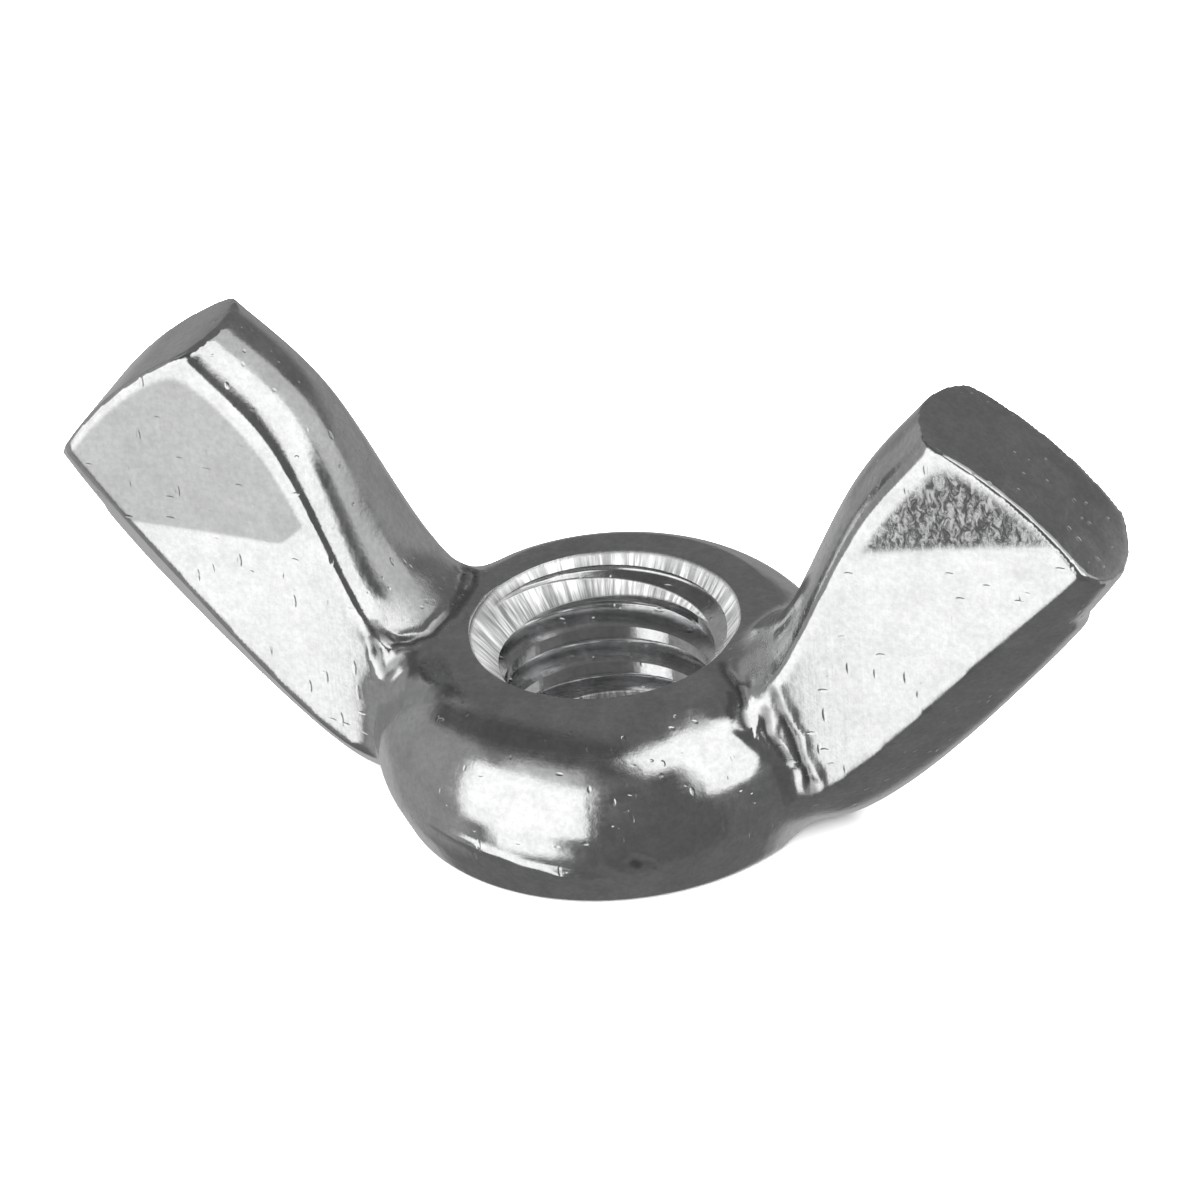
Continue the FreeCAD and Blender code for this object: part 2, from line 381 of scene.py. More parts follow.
    def face_inset(self, place: Vector) -> tuple[float, float, float] | None:
        """How far a place on a flat face is from that face's edges.

        Args:
            place: the place, in millimetres.

        Returns:
            The distances from the inner edge, the outer edge and the end, or None off the upper
            half of the flat faces.
        """
        if place.x * self.side.value < 5.8 or place.z < 5.5:
            return None
        low, high = 0.3, 1.1
        for _ in range(14):
            middle = (low + high) / 2
            corner, _, out = self.frame_at(middle)
            if (place - corner).dot(out) > 0:
                low = middle
            else:
                high = middle
        t = min(low, 1.0)
        if between(self.front, t) + 0.05 < place.y < between(self.back, t) - 0.05:
            return None
        corner, along, _ = self.frame_at(t)
        across = (place - corner).dot(along)
        end, _, out = self.frame_at(1.0)
        height = (end - place).dot(out) + self.crown * (1 - (across / self.width[-1] * 2 - 1) ** 2)
        return across, between(self.width, t) - across, height

    def raise_crown(self, mesh: bmesh.types.BMesh) -> None:
        """Crowns the end face of this wing on the finished skin.

        Args:
            mesh: the skin, in millimetres.
        """
        corner, along, out = self.frame_at(1.0)
        half = self.width[-1] / 2
        for vert in mesh.verts:
            if vert.co.x * self.side.value < 6.0:
                continue
            across = ((vert.co - corner).dot(along) - half) / half
            height = (vert.co - corner).dot(out)
            rise = self.crown * (1.0 - across * across)
            vert.co += out * rise * smooth_step(-0.9, -0.05, height)


@dataclass
class Bore:
    """The tapped bore with its conical mouths. Sizes in millimetres."""

    hub: Hub
    radius: float = THREAD["dims"]["r_mm"]
    straight: float = THREAD["dims"]["length_mm"]
    mouth_radius: float = 3.1
    rim: float = 0.07
    thread_radius: float = 3.0
    pitch: float = 1.0
    crest_ease: float = 0.04
    steps: int = 96

    @property
    def mouth_depth(self) -> float:
        """The depth of each countersink."""
        return round((self.hub.height - self.straight) / 2, 6)

    def drill(self) -> bmesh.types.BMesh:
        """The drill and its two countersinks, as the solid that they take away.

        Returns:
            The solid, in millimetres.
        """
        top, rim = self.hub.height, self.rim
        section = [(0.0, -1.0), (self.mouth_radius + rim, -1.0), (self.mouth_radius + rim, 0.0),
                   (self.mouth_radius, rim), (self.radius, self.mouth_depth),
                   (self.radius, top - self.mouth_depth), (self.mouth_radius, top - rim),
                   (self.mouth_radius + rim, top), (self.mouth_radius + rim, top + 1.0),
                   (0.0, top + 1.0)]
        mesh = bmesh.new()
        verts = [mesh.verts.new((r, 0.0, z)) for r, z in section]
        edges = [mesh.edges.new(pair) for pair in zip(verts, verts[1:])]
        bmesh.ops.spin(mesh, geom=verts + edges, cent=(0, 0, 0), axis=(0, 0, 1),
                       angle=math.tau, steps=self.steps, use_merge=True)
        bmesh.ops.remove_doubles(mesh, verts=mesh.verts, dist=1e-5)
        bmesh.ops.recalc_face_normals(mesh, faces=mesh.faces)
        return mesh

    def tap(self) -> bmesh.types.BMesh:
        """The tap's cutting ridge, a right-hand screw of one turn a pitch.

        Returns:
            The solid, in millimetres.
        """
        inside = self.radius - 0.15
        turns = int(self.hub.height / self.pitch) + 3
        half_root = self.pitch / 16
        slant = math.tan(math.radians(30))
        half_mouth = half_root + (self.thread_radius - inside) * slant
        start = -1.3 * self.pitch
        ease = self.crest_ease
        section = [(inside, -half_mouth), (self.thread_radius - ease, -half_root - ease * slant),
                   (self.thread_radius, -half_root * 0.5), (self.thread_radius, half_root * 0.5),
                   (self.thread_radius - ease, half_root + ease * slant), (inside, half_mouth)]
        mesh = bmesh.new()
        verts = [mesh.verts.new((r, 0.0, start + z)) for r, z in section]
        edges = [mesh.edges.new(pair) for pair in zip(verts, verts[1:] + verts[:1])]
        bmesh.ops.spin(mesh, geom=verts + edges, cent=(0, 0, 0), axis=(0, 0, 1),
                       dvec=(0, 0, self.pitch / self.steps), angle=math.tau * turns,
                       steps=self.steps * turns, use_merge=False)
        bmesh.ops.holes_fill(mesh, edges=mesh.edges)
        bmesh.ops.recalc_face_normals(mesh, faces=mesh.faces)
        return mesh


@dataclass(frozen=True)
class Fold:
    """A lap in the skin, a groove with a rolled lip along it. Sizes in millimetres.

    A negative depth makes a ridge. Wander is how far the groove strays from its line, and taper
    how far from its ends it reaches its full depth.
    """

    points: tuple[tuple[float, float, float], ...]
    depth: float = 0.08
    half_width: float = 0.13
    lip: float = 0.03
    wander: float = 0.12
    taper: float = 0.5

    def distance(self, place: Vector) -> float:
        """The distance from a place to the fold's line.

        Args:
            place: the place, in millimetres.

        Returns:
            The distance, in millimetres.
        """
        nearest = math.inf
        for start, end in zip(self.points, self.points[1:]):
            a, b = Vector(start), Vector(end)
            t = min(1.0, max(0.0, (place - a).dot(b - a) / (b - a).length_squared))
            nearest = min(nearest, (place - a - (b - a) * t).length)
        return nearest

    def rise(self, off: float) -> float:
        """How far the skin stands out near the fold.

        Args:
            off: the distance from the fold's line.

        Returns:
            The height along the skin's normal, negative in the groove.
        """
        groove = 1.0 - smooth_step(0.0, self.half_width, off)
        lip = smooth_step(self.half_width * 0.5, self.half_width * 1.2, off)
        lip *= 1.0 - smooth_step(self.half_width * 1.2, self.half_width * 2.6, off)
        return self.lip * lip - self.depth * groove

    def press(self, mesh: bmesh.types.BMesh) -> None:
        """Presses the fold into the skin.

        Args:
            mesh: the skin, in millimetres.
        """
        reach = self.half_width * 2.6
        low = [min(values) - reach for values in zip(*self.points)]
        high = [max(values) + reach for values in zip(*self.points)]
        moves = []
        for vert in mesh.verts:
            if all(a < value < b for a, value, b in zip(low, vert.co, high)):
                wander = self.wander * noise.noise(vert.co * 2.6)
                share = 0.65 + 0.6 * noise.noise(vert.co * 1.7 + Vector((9.0, 0.0, 0.0)))
                ends = min((vert.co - Vector(tip)).length
                           for tip in (self.points[0], self.points[-1]))
                share *= smooth_step(-0.1, self.taper, ends)
                off = abs(self.distance(vert.co) + wander)
                moves.append((vert, vert.normal * self.rise(off) * share))
        for vert, move in moves:
            vert.co += move


@dataclass
class Forging:
    """The whole nut: hub and wings in one skin, with its bore cut."""

    hub: Hub = field(default_factory=Hub)
    wings: tuple[Wing, ...] = field(default_factory=lambda: (
        Wing(Side.LEFT, width=(1.7, 3.3, 4.6, 4.3), outer_bulge=(1.3, 1.6, 1.55, 0.95)),
        Wing(Side.RIGHT, inner_x=(3.4, 5.04, 7.27, 9.22), inner_z=(3.3, 4.71, 8.83, 11.37),
             width=(1.7, 2.95, 4.0, 4.3), outer_bulge=(1.4, 1.4, 1.2, 0.8)),
    ))
    folds: tuple[Fold, ...] = field(default_factory=lambda: (
        Fold(((3.3, -1.1, 4.5), (3.6, -1.5, 4.45), (4.1, -2.0, 4.35), (4.3, -2.45, 3.8))),
        Fold(((5.0, -2.25, 4.7), (5.2, -2.25, 4.05), (5.45, -2.25, 3.4), (5.8, -2.25, 2.0)),
             depth=0.07),
        Fold(((4.8, -2.3, 4.15), (4.85, -2.4, 3.55), (5.25, -2.3, 2.9)), depth=0.05, lip=0.06),
        Fold(((-3.8, 1.3, 4.45), (-3.55, 0.6, 4.5), (-3.5, -0.25, 4.55), (-3.5, -0.8, 4.55)),
             depth=0.06),
        Fold(((-4.95, -2.15, 4.85), (-4.45, -2.05, 4.45), (-4.1, -1.9, 4.45),
              (-3.7, -1.5, 4.5), (-3.6, -0.9, 4.55), (-3.65, 0.0, 4.6), (-4.05, 1.4, 4.5)),
             depth=0.07, lip=0.05),
        Fold(((-4.9, -2.2, 4.6), (-4.8, -2.25, 4.2), (-4.65, -2.4, 3.8), (-4.25, -2.25, 4.15)),
             depth=0.06, lip=0.05),
        Fold(((-2.9, -4.8, 1.7), (-1.5, -5.4, 1.55), (0.0, -5.55, 1.2), (1.0, -5.45, 1.05),
              (2.0, -5.1, 0.85)), depth=-0.09, half_width=0.24, lip=0.0, wander=0.04),
        Fold(((2.4, -5.05, 1.35), (2.45, -5.0, 1.3)),
             depth=0.06, half_width=0.4, lip=0.02, taper=0.0),
    ))
    junction: tuple[float, float] = (2.5, 7.5)
    flow_passes: tuple[tuple[float, int], ...] = ((1.1, 30), (0.8, 50), (0.5, 50))
    skirt_top: float = 2.8
    skirt_reach: float = 0.6
    skirt_passes: int = 25
    skin_passes: int = 3
    grain: float = 0.09
    quick_grain: float = 0.15
    sharp_from: float = math.radians(38)

    def stock(self) -> bpy.types.Object:
        """Unites the hub and the wings into one skin of even quads.

        Returns:
            The skin as an object, in millimetres.
        """
        joined = bmesh.new()
        for part in (self.hub.build(), *(wing.build() for wing in self.wings)):
            data = bpy.data.meshes.new("stock")
            part.to_mesh(data)
            part.free()
            joined.from_mesh(data)
            bpy.data.meshes.remove(data)
        stock = object_from(joined, "wing_nut_forging")
        pattern = object_from(bmesh_of(stock), "forging_pattern")
        remesh = stock.modifiers.new("skin", "REMESH")
        remesh.mode = "VOXEL"
        remesh.voxel_size = self.grain
        remesh.use_smooth_shade = True
        settle = stock.modifiers.new("settle", "SHRINKWRAP")
        settle.target = pattern
        settle.wrap_method = "NEAREST_SURFACEPOINT"
        apply_modifiers(stock)
        discard(pattern)
        return stock

    def flow(self, mesh: bmesh.types.BMesh) -> None:
        """Lets the metal flow where the wings meet the hub, and eases every edge a little.

        Above skirt_top the junction is rounded in several passes, widest first. Below it, where
        the real one is tighter, it is rounded less.

        Args:
            mesh: the skin, in millimetres.
        """
        trees = []
        for wing in self.wings:
            shape = wing.build()
            trees.append(BVHTree.FromBMesh(shape))
            shape.free()
        barrel = self.hub.build()
        hub_tree = BVHTree.FromBMesh(barrel)
        barrel.free()
        near: dict[bmesh.types.BMVert, float] = {}
        first, last = self.junction
        for vert in mesh.verts:
            if not first <= abs(vert.co.x) <= last:
                continue
            to_wing = min(tree.find_nearest(vert.co)[3] for tree in trees)
            to_hub = hub_tree.find_nearest(vert.co)[3]
            near[vert] = math.hypot(to_wing, to_hub)
        for reach, times in self.flow_passes:
            top = [v for v, d in near.items() if d < reach and v.co.z > self.skirt_top]
            self.smooth(mesh, top, times)
        skirt = [v for v, d in near.items() if d < self.skirt_reach and v.co.z <= self.skirt_top]
        self.smooth(mesh, skirt, self.skirt_passes)
        self.smooth(mesh, mesh.verts, self.skin_passes)

    @staticmethod
    def smooth(mesh: bmesh.types.BMesh, chosen: Sequence[bmesh.types.BMVert], times: int) -> None:
        """Smooths some of the skin.

        Args:
            mesh: the skin.
            chosen: the vertices that move.
            times: how often they are smoothed.
        """
        for _ in range(times):
            bmesh.ops.smooth_vert(mesh, verts=chosen, factor=0.5, use_axis_x=True,
                                  use_axis_y=True, use_axis_z=True)

    def foot_of(self, data: bpy.types.Mesh) -> list[float]:
        """How near each vertex is to the foot of a wing, on top of the hub.

        Args:
            data: the cut mesh, in millimetres.

        Returns:
            A value from 0 to 1 for each vertex.
        """
        middle, reach = Vector((4.75, -0.5, 4.75)), Vector((1.1, 2.3, 0.75))
        values = []
        for vert in data.vertices:
            off = math.hypot((abs(vert.co.x) - middle.x) / reach.x,
                             (vert.co.y - middle.y) / reach.y,
                             (vert.co.z - middle.z) / reach.z)
            values.append(1.0 - smooth_step(0.55, 1.0, off))
        return values

    def cut(self, body: bpy.types.Object) -> None:
        """Drills, countersinks and taps the bore.

        Args:
            body: the forging, in millimetres.
        """
        bore = Bore(self.hub)
        tools = [object_from(bore.drill(), "drill"), object_from(bore.tap(), "tap")]
        for tool in tools:
            cut = body.modifiers.new(tool.name, "BOOLEAN")
            cut.operation = "DIFFERENCE"
            cut.solver = "EXACT"
            cut.object = tool
            apply_modifiers(body)
            discard(tool)

    def build(self) -> bpy.types.Object:
        """Makes the finished nut.

        Returns:
            The nut, in metres.
        """
        body = self.stock()
        log.info("skin of %d faces", len(body.data.polygons))
        mesh = bmesh_of(body)
        for wing in self.wings:
            wing.raise_crown(mesh)
        self.flow(mesh)
        mesh.normal_update()
        for fold in self.folds:
            fold.press(mesh)
        # The seat is flat: nothing stands out below it.
        for vert in mesh.verts:
            vert.co.z = max(vert.co.z, 0.0)
        mesh.to_mesh(body.data)
        mesh.free()
        self.cut(body)
        log.info("cut to %d faces", len(body.data.polygons))
        Marks().put_on(body.data, self)
        self.harden(body.data)
        body.data.transform(Matrix.Scale(MM, 4))
        return body

    def harden(self, data: bpy.types.Mesh) -> None:
        """Shades the skin smooth, and keeps the cut edges of the bore sharp.

        Args:
            data: the cut mesh, in millimetres.
        """
        mesh = bmesh.new()
        mesh.from_mesh(data)
        reach = self.hub.ring_radius - 0.5
        for face in mesh.faces:
            face.smooth = True
        for edge in mesh.edges:
            inside = all(math.hypot(vert.co.x, vert.co.y) < reach for vert in edge.verts)
            edge.smooth = not inside or edge.calc_face_angle(0.0) < self.sharp_from
        mesh.to_mesh(data)
        mesh.free()


class Mark(Enum):
    """Forging and plating marks on the skin, with painted reflections and shade, each from 0 to 1.
    """

    FROSTED_AND_PAINTED_REFLECTION = "frosted_and_painted_reflection"
    GRAINED_AND_PAINTED_REFLECTION = "grained_and_painted_reflection"
    LAP_AND_PAINTED_SHADE = "lap_and_painted_shade"
    FOOT = "foot"


@dataclass
class Marks:
    """Where the marks are. Places are in millimetres, in the nut's own frame."""

    border: float = 0.26
    frost_and_reflection_floor: float = 6.72
    frost_and_reflection_rise: float = 0.9
    grain_and_reflection_floor: float = 8.5
    grain_and_reflection_slope: float = 0.17

    def zone(self, place: Vector, wings: Sequence[Wing]) -> tuple[float, float]:
        """How far a place is in the struck zones at the wings' ends, whose colour carries painted
        reflections.

        Args:
            place: the place.
            wings: the left and the right wing.

        Returns:
            The frosted and the grained value, each also the mask of a painted reflection.
        """
        insets = wings[0 if place.x < 0 else 1].face_inset(place)
        if insets is None or min(insets) <= 0:
            return 0.0, 0.0
        inner, outer, end = insets
        inside = inner * end / (inner + end)
        x = abs(place.x)
        # Frosted zone: besides more roughness, its colour carries a painted grey reflection.
        if (place.x < 0) == (place.y < 0):
            edge = smooth_step(self.border - 0.1, self.border + 0.04, inside)
            edge *= smooth_step(0.0, 0.08, outer)
            floor = self.frost_and_reflection_floor + self.frost_and_reflection_rise * smooth_step(7.3, 5.9, x)
            return edge * smooth_step(floor - 0.06, floor + 0.06, place.z), 0.0
        # Grained zone: besides grain relief and roughness, its colour carries a painted dark
        # reflection.
        edge = smooth_step(self.border - 0.14, self.border + 0.02, inside)
        edge *= smooth_step(0.05, 0.4, outer)
        floor = self.grain_and_reflection_floor + self.grain_and_reflection_slope * (x - 7.2)
        return 0.0, edge * smooth_step(floor - 0.12, floor + 0.15, place.z)

    def put_on(self, data: bpy.types.Mesh, forging: Forging) -> None:
        """Writes every mark as an attribute of the mesh.

        Args:
            data: the finished mesh, in millimetres.
            forging: the nut that the mesh shows.
        """
        values: dict[Mark, list[float]] = {mark: [] for mark in Mark}
        for vert, foot in zip(data.vertices, forging.foot_of(data)):
            frosted_and_painted_reflection, grained_and_painted_reflection = self.zone(vert.co, forging.wings)
            values[Mark.FROSTED_AND_PAINTED_REFLECTION].append(frosted_and_painted_reflection)
            values[Mark.GRAINED_AND_PAINTED_REFLECTION].append(grained_and_painted_reflection)
            lap_and_painted_shade = min(fold.distance(vert.co) for fold in forging.folds if fold.depth > 0)
            values[Mark.LAP_AND_PAINTED_SHADE].append(1.0 - smooth_step(0.0, 0.3, lap_and_painted_shade))
            values[Mark.FOOT].append(foot)
        for mark, numbers in values.items():
            layer = data.attributes.new(mark.value, "FLOAT", "POINT")
            layer.data.foreach_set("value", numbers)


class NodeBench:
    """A node tree under construction, with short ways to add what a finish needs."""

    def __init__(self, tree: bpy.types.NodeTree) -> None:
        """Starts on a tree.

        Args:
            tree: the node tree.
        """
        self.tree = tree

    def feed(self, socket: bpy.types.NodeSocket, value: bpy.types.NodeSocket | float) -> None:
        """Links a socket, or sets it to a number.

        Args:
            socket: the input.
            value: another node's output, or a constant.
        """
        if isinstance(value, bpy.types.NodeSocket):
            self.tree.links.new(value, socket)
        else:
            socket.default_value = value

    def maths(self, operation: str, *values: bpy.types.NodeSocket | float
              ) -> bpy.types.NodeSocket:
        """One Math node.

        Args:
            operation: what it does.
            values: its inputs.

        Returns:
            Its result.
        """
        node = self.tree.nodes.new("ShaderNodeMath")
        node.operation = operation
        for socket, value in zip(node.inputs, values):
            self.feed(socket, value)
        return node.outputs[0]

    def weighted(self, *terms: tuple[bpy.types.NodeSocket, float]) -> bpy.types.NodeSocket:
        """The sum of several values, each times its weight.

        Args:
            terms: pairs of a value and its weight.

        Returns:
            The sum.
        """
        scaled = [self.maths("MULTIPLY", value, weight) for value, weight in terms]
        total = scaled[0]
        for term in scaled[1:]:
            total = self.maths("ADD", total, term)
        return total

    def mixed(self, share: bpy.types.NodeSocket, a: bpy.types.NodeSocket | float,
              b: bpy.types.NodeSocket | float) -> bpy.types.NodeSocket:
        """A blend of two values.

        Args:
            share: how much of the second value there is.
            a: the first value.
            b: the second value.

        Returns:
            The blend.
        """
        node = self.tree.nodes.new("ShaderNodeMix")
        for name, value in (("Factor", share), ("A", a), ("B", b)):
            self.feed(node.inputs[name], value)
        return node.outputs["Result"]

    def dot(self, direction: bpy.types.NodeSocket, axis: Vector) -> bpy.types.NodeSocket:
        """The length of a direction along an axis.

        Args:
            direction: the direction.
            axis: the axis.

        Returns:
            The length.
        """
        node = self.tree.nodes.new("ShaderNodeVectorMath")
        node.operation = "DOT_PRODUCT"
        self.feed(node.inputs[0], direction)
        node.inputs[1].default_value = axis
        return node.outputs["Value"]

    def joined(self, x: bpy.types.NodeSocket, y: bpy.types.NodeSocket) -> bpy.types.NodeSocket:
        """Flat coordinates from two values.

        Args:
            x: the first value.
            y: the second value.

        Returns:
            The coordinates.
        """
        node = self.tree.nodes.new("ShaderNodeCombineXYZ")
        self.feed(node.inputs[0], x)
        self.feed(node.inputs[1], y)
        return node.outputs[0]

    def ramp(self, value: bpy.types.NodeSocket, low: float, high: float,
             start: float = 0.0, end: float = 1.0) -> bpy.types.NodeSocket:
        """A smooth ramp.

        Args:
            value: what is read.
            low: where the ramp starts.
            high: where the ramp ends.
            start: the result at low.
            end: the result at high.

        Returns:
            The ramp's result.
        """
        node = self.tree.nodes.new("ShaderNodeMapRange")
        node.interpolation_type = "SMOOTHSTEP"
        for name, number in zip(("Value", "From Min", "From Max", "To Min", "To Max"),
                                (value, low, high, start, end)):
            self.feed(node.inputs[name], number)
        return node.outputs["Result"]

    def noise(self, where: bpy.types.NodeSocket, scale: float, detail: float = 2.0,
              roughness: float = 0.5, distortion: float = 0.0) -> bpy.types.NodeSocket:
        """A noise pattern.

        Args:
            where: the coordinates.
            scale: how many features to a unit.
            detail: how many finer layers it has.
            roughness: how strong the finer layers are.
            distortion: how much it is warped.

        Returns:
            The pattern, from 0 to 1.
        """
        node = self.tree.nodes.new("ShaderNodeTexNoise")
        self.feed(node.inputs["Vector"], where)
        for name, number in (("Scale", scale), ("Detail", detail), ("Roughness", roughness),
                             ("Distortion", distortion)):
            node.inputs[name].default_value = number
        return node.outputs["Fac"]

    def cells(self, where: bpy.types.NodeSocket, scale: float) -> bpy.types.NodeSocket:
        """The distance to scattered points.

        Args:
            where: the coordinates.
            scale: how many points to a unit.

        Returns:
            The distance to the nearest point.
        """
        node = self.tree.nodes.new("ShaderNodeTexVoronoi")
        self.feed(node.inputs["Vector"], where)
        node.inputs["Scale"].default_value = scale
        return node.outputs["Distance"]

    def placed(self, where: bpy.types.NodeSocket, scale: tuple[float, float, float],
               turn: tuple[float, float, float] = (0.0, 0.0, 0.0)) -> bpy.types.NodeSocket:
        """Coordinates scaled and turned by a Mapping node.

        Args:
            where: the coordinates.
            scale: the scale along each axis.
            turn: the turn about each axis, in degrees.

        Returns:
            The new coordinates.
        """
        node = self.tree.nodes.new("ShaderNodeMapping")
        self.feed(node.inputs["Vector"], where)
        node.inputs["Rotation"].default_value = tuple(math.radians(a) for a in turn)
        node.inputs["Scale"].default_value = scale
        return node.outputs["Vector"]

    def mark(self, mark: Mark) -> bpy.types.NodeSocket:
        """A mark's value, from the mesh.

        Args:
            mark: which mark.

        Returns:
            Its value, from 0 to 1.
        """
        node = self.tree.nodes.new("ShaderNodeAttribute")
        node.attribute_name = mark.value
        return node.outputs["Fac"]


@dataclass(frozen=True)
class Relief:
    """How far each pattern stands out of the plating, in micrometres."""

    speckle: float = 2.2
    swell: float = 5.0
    dings: float = -6.5
    grain: float = 14.0
    streaks: float = 26.0
    scratches: float = 0.5
    foot: float = 9.0


@dataclass(frozen=True)
class Dullness:
    """How much roughness each mark adds to the plating."""

    scratches: float = 0.06
    frosted_and_painted_reflection: float = 0.06
    grained_and_painted_reflection: float = 0.15
    foot: float = 0.12
    lap_and_painted_shade: float = 0.16
    mouth: float = 0.22


@dataclass
class Patterns:
    """The patterns and marks that the plating is mixed from, as outputs of one node tree."""

    speckle: bpy.types.NodeSocket
    swell: bpy.types.NodeSocket
    dings: bpy.types.NodeSocket
    grain: bpy.types.NodeSocket
    streaks: bpy.types.NodeSocket
    patches: bpy.types.NodeSocket
    scratches: bpy.types.NodeSocket
    mouth: bpy.types.NodeSocket
    frosted_and_painted_reflection: bpy.types.NodeSocket
    grained_and_painted_reflection: bpy.types.NodeSocket
    lap_and_painted_shade: bpy.types.NodeSocket
    foot: bpy.types.NodeSocket


@dataclass(frozen=True)
class PlatedSteel:
    """Bright zinc plating over forged steel."""

    name: str = "zinc_plated_steel"
    colour: tuple[float, float, float] = (0.79, 0.795, 0.8)
    roughness: float = 0.13
    mouth_metal: float = 0.66
    brightest: float = 1.25
    relief: Relief = Relief()
    dullness: Dullness = Dullness()
    bore: Bore = field(default_factory=lambda: Bore(Hub()))

    def mouth(self, bench: NodeBench, place: bpy.types.NodeSocket
              ) -> tuple[bpy.types.NodeSocket, bpy.types.NodeSocket, bpy.types.NodeSocket]:
        """Finds the countersinks' conical walls.

        Args:
            bench: the node tree.
            place: coordinates in millimetres.

        Returns:
            A mask of the walls, the angle round the bore and the distance from its axis.
        """
        split = bench.tree.nodes.new("ShaderNodeSeparateXYZ")
        bench.feed(split.inputs[0], place)
        x, y, z = split.outputs
        squares = bench.maths("ADD", bench.maths("MULTIPLY", x, x), bench.maths("MULTIPLY", y, y))
        away = bench.maths("SQRT", squares)
        angle = bench.maths("ARCTAN2", y, x)
        middle = self.bore.hub.height / 2
        high = bench.maths("ABSOLUTE", bench.maths("SUBTRACT", z, middle))
        slant = (self.bore.mouth_radius - self.bore.radius) / self.bore.mouth_depth
        foot = middle - self.bore.mouth_depth
        wall = bench.maths("MULTIPLY", bench.maths("SUBTRACT", high, foot), slant)
        wall = bench.maths("ADD", wall, self.bore.radius)
        off = bench.maths("ABSOLUTE", bench.maths("SUBTRACT", away, wall))
        mask = bench.maths("MULTIPLY", bench.ramp(off, 0.03, 0.08, 1.0, 0.0),
                           bench.ramp(high, foot - 0.02, foot + 0.04))
        mask = bench.maths("MULTIPLY", mask, bench.ramp(high, middle, middle + 0.1, 1.0, 0.0))
        return mask, angle, away

    def patterns(self, bench: NodeBench, place: bpy.types.NodeSocket) -> Patterns:
        """Makes every pattern of the finish.

        Args:
            bench: the node tree.
            place: coordinates in millimetres.

        Returns:
            The patterns.
        """
        mouth, angle, away = self.mouth(bench, place)
        dashes = bench.ramp(bench.cells(bench.placed(place, (1.0, 1.0, 0.3), (0, 24, 0)), 2.9),
                            0.08, 0.2, 1.0, 0.0)
        nicks = bench.ramp(bench.cells(bench.placed(place, (0.35, 1.0, 1.1), (0, -31, 0)), 3.3),
                           0.06, 0.18, 1.0, 0.0)
        sparse = bench.ramp(bench.noise(place, 1.6, 1.0), 0.4, 0.55)
        round_bore = bench.joined(bench.maths("MULTIPLY", angle, 14.0),
                                  bench.maths("MULTIPLY", away, 0.5))
        outward = bench.joined(bench.maths("MULTIPLY", away, 16.0), angle)
        coarse = bench.placed(place, (1.0, 1.0, 0.55), (0, 40, 0))
        return Patterns(
            speckle=bench.noise(place, 7.0, 3.0, 0.65),
            swell=bench.noise(place, 1.3, 3.0, 0.55, 0.4),
            dings=bench.maths("MULTIPLY", bench.maths("MAXIMUM", dashes, nicks), sparse),
            grain=bench.noise(coarse, 6.5, 4.0, 0.78, 0.8),
            streaks=bench.noise(round_bore, 1.6, 3.0, 0.7),
            patches=bench.noise(round_bore, 0.22, 1.0),
            scratches=bench.noise(outward, 1.0, 2.0, 0.7),
            mouth=mouth,
            frosted_and_painted_reflection=bench.mark(Mark.FROSTED_AND_PAINTED_REFLECTION),
            grained_and_painted_reflection=bench.mark(Mark.GRAINED_AND_PAINTED_REFLECTION),
            lap_and_painted_shade=bench.mark(Mark.LAP_AND_PAINTED_SHADE),
            foot=bench.mark(Mark.FOOT),
        )

    def tone(self, bench: NodeBench, made: Patterns) -> bpy.types.NodeSocket:
        """How bright the metal's colour is, with painted reflections in the struck zones and
        painted shade along the laps.

        Args:
            bench: the node tree.
            made: the patterns.

        Returns:
            A share of the plating's colour.
        """
        tone = bench.ramp(made.swell, 0.2, 0.8, 0.86, 1.06)
        tone = bench.maths("MULTIPLY", tone, bench.ramp(made.speckle, 0.25, 0.75, 0.9, 1.07))
        # Painted reflection: the frosted zone is darkened to grey, a reflection of a dark thing
        # painted into the colour.
        tone = bench.maths("MULTIPLY", tone, bench.ramp(made.frosted_and_painted_reflection, 0.0, 1.0, 1.0, 0.64))
        # Painted reflection: the grained zone's colour is a dark reflection painted in, broken up
        # by the grain.
        tone = bench.mixed(made.grained_and_painted_reflection, tone, bench.ramp(made.grain, 0.42, 0.62, 0.16, 0.78))
        streaked = bench.maths("MULTIPLY", bench.ramp(made.streaks, 0.38, 0.66, 0.3, 0.95),
                               bench.ramp(made.patches, 0.3, 0.62, 0.6, 1.0))
        tone = bench.mixed(made.mouth, tone, streaked)
        # Painted shade: the colour is darkened along the laps, the shade of their grooves painted
        # in.
        tone = bench.maths("MULTIPLY", tone, bench.ramp(made.lap_and_painted_shade, 0.35, 1.0, 1.0, 0.5))
        return bench.maths("MINIMUM", tone, self.brightest)

    def rough(self, bench: NodeBench, made: Patterns) -> bpy.types.NodeSocket:
        """How rough the metal is.

        Args:
            bench: the node tree.
            made: the patterns.

        Returns:
            The roughness.
        """
        base = bench.ramp(made.swell, 0.25, 0.75, self.roughness - 0.03, self.roughness + 0.05)
        worn = bench.ramp(made.scratches, 0.4, 0.8)
        more = self.dullness
        marks = bench.weighted((worn, more.scratches), (made.frosted_and_painted_reflection, more.frosted_and_painted_reflection),
                               (made.grained_and_painted_reflection, more.grained_and_painted_reflection), (made.foot, more.foot),
                               (made.lap_and_painted_shade, more.lap_and_painted_shade), (made.mouth, more.mouth))
        return bench.maths("ADD", base, marks)

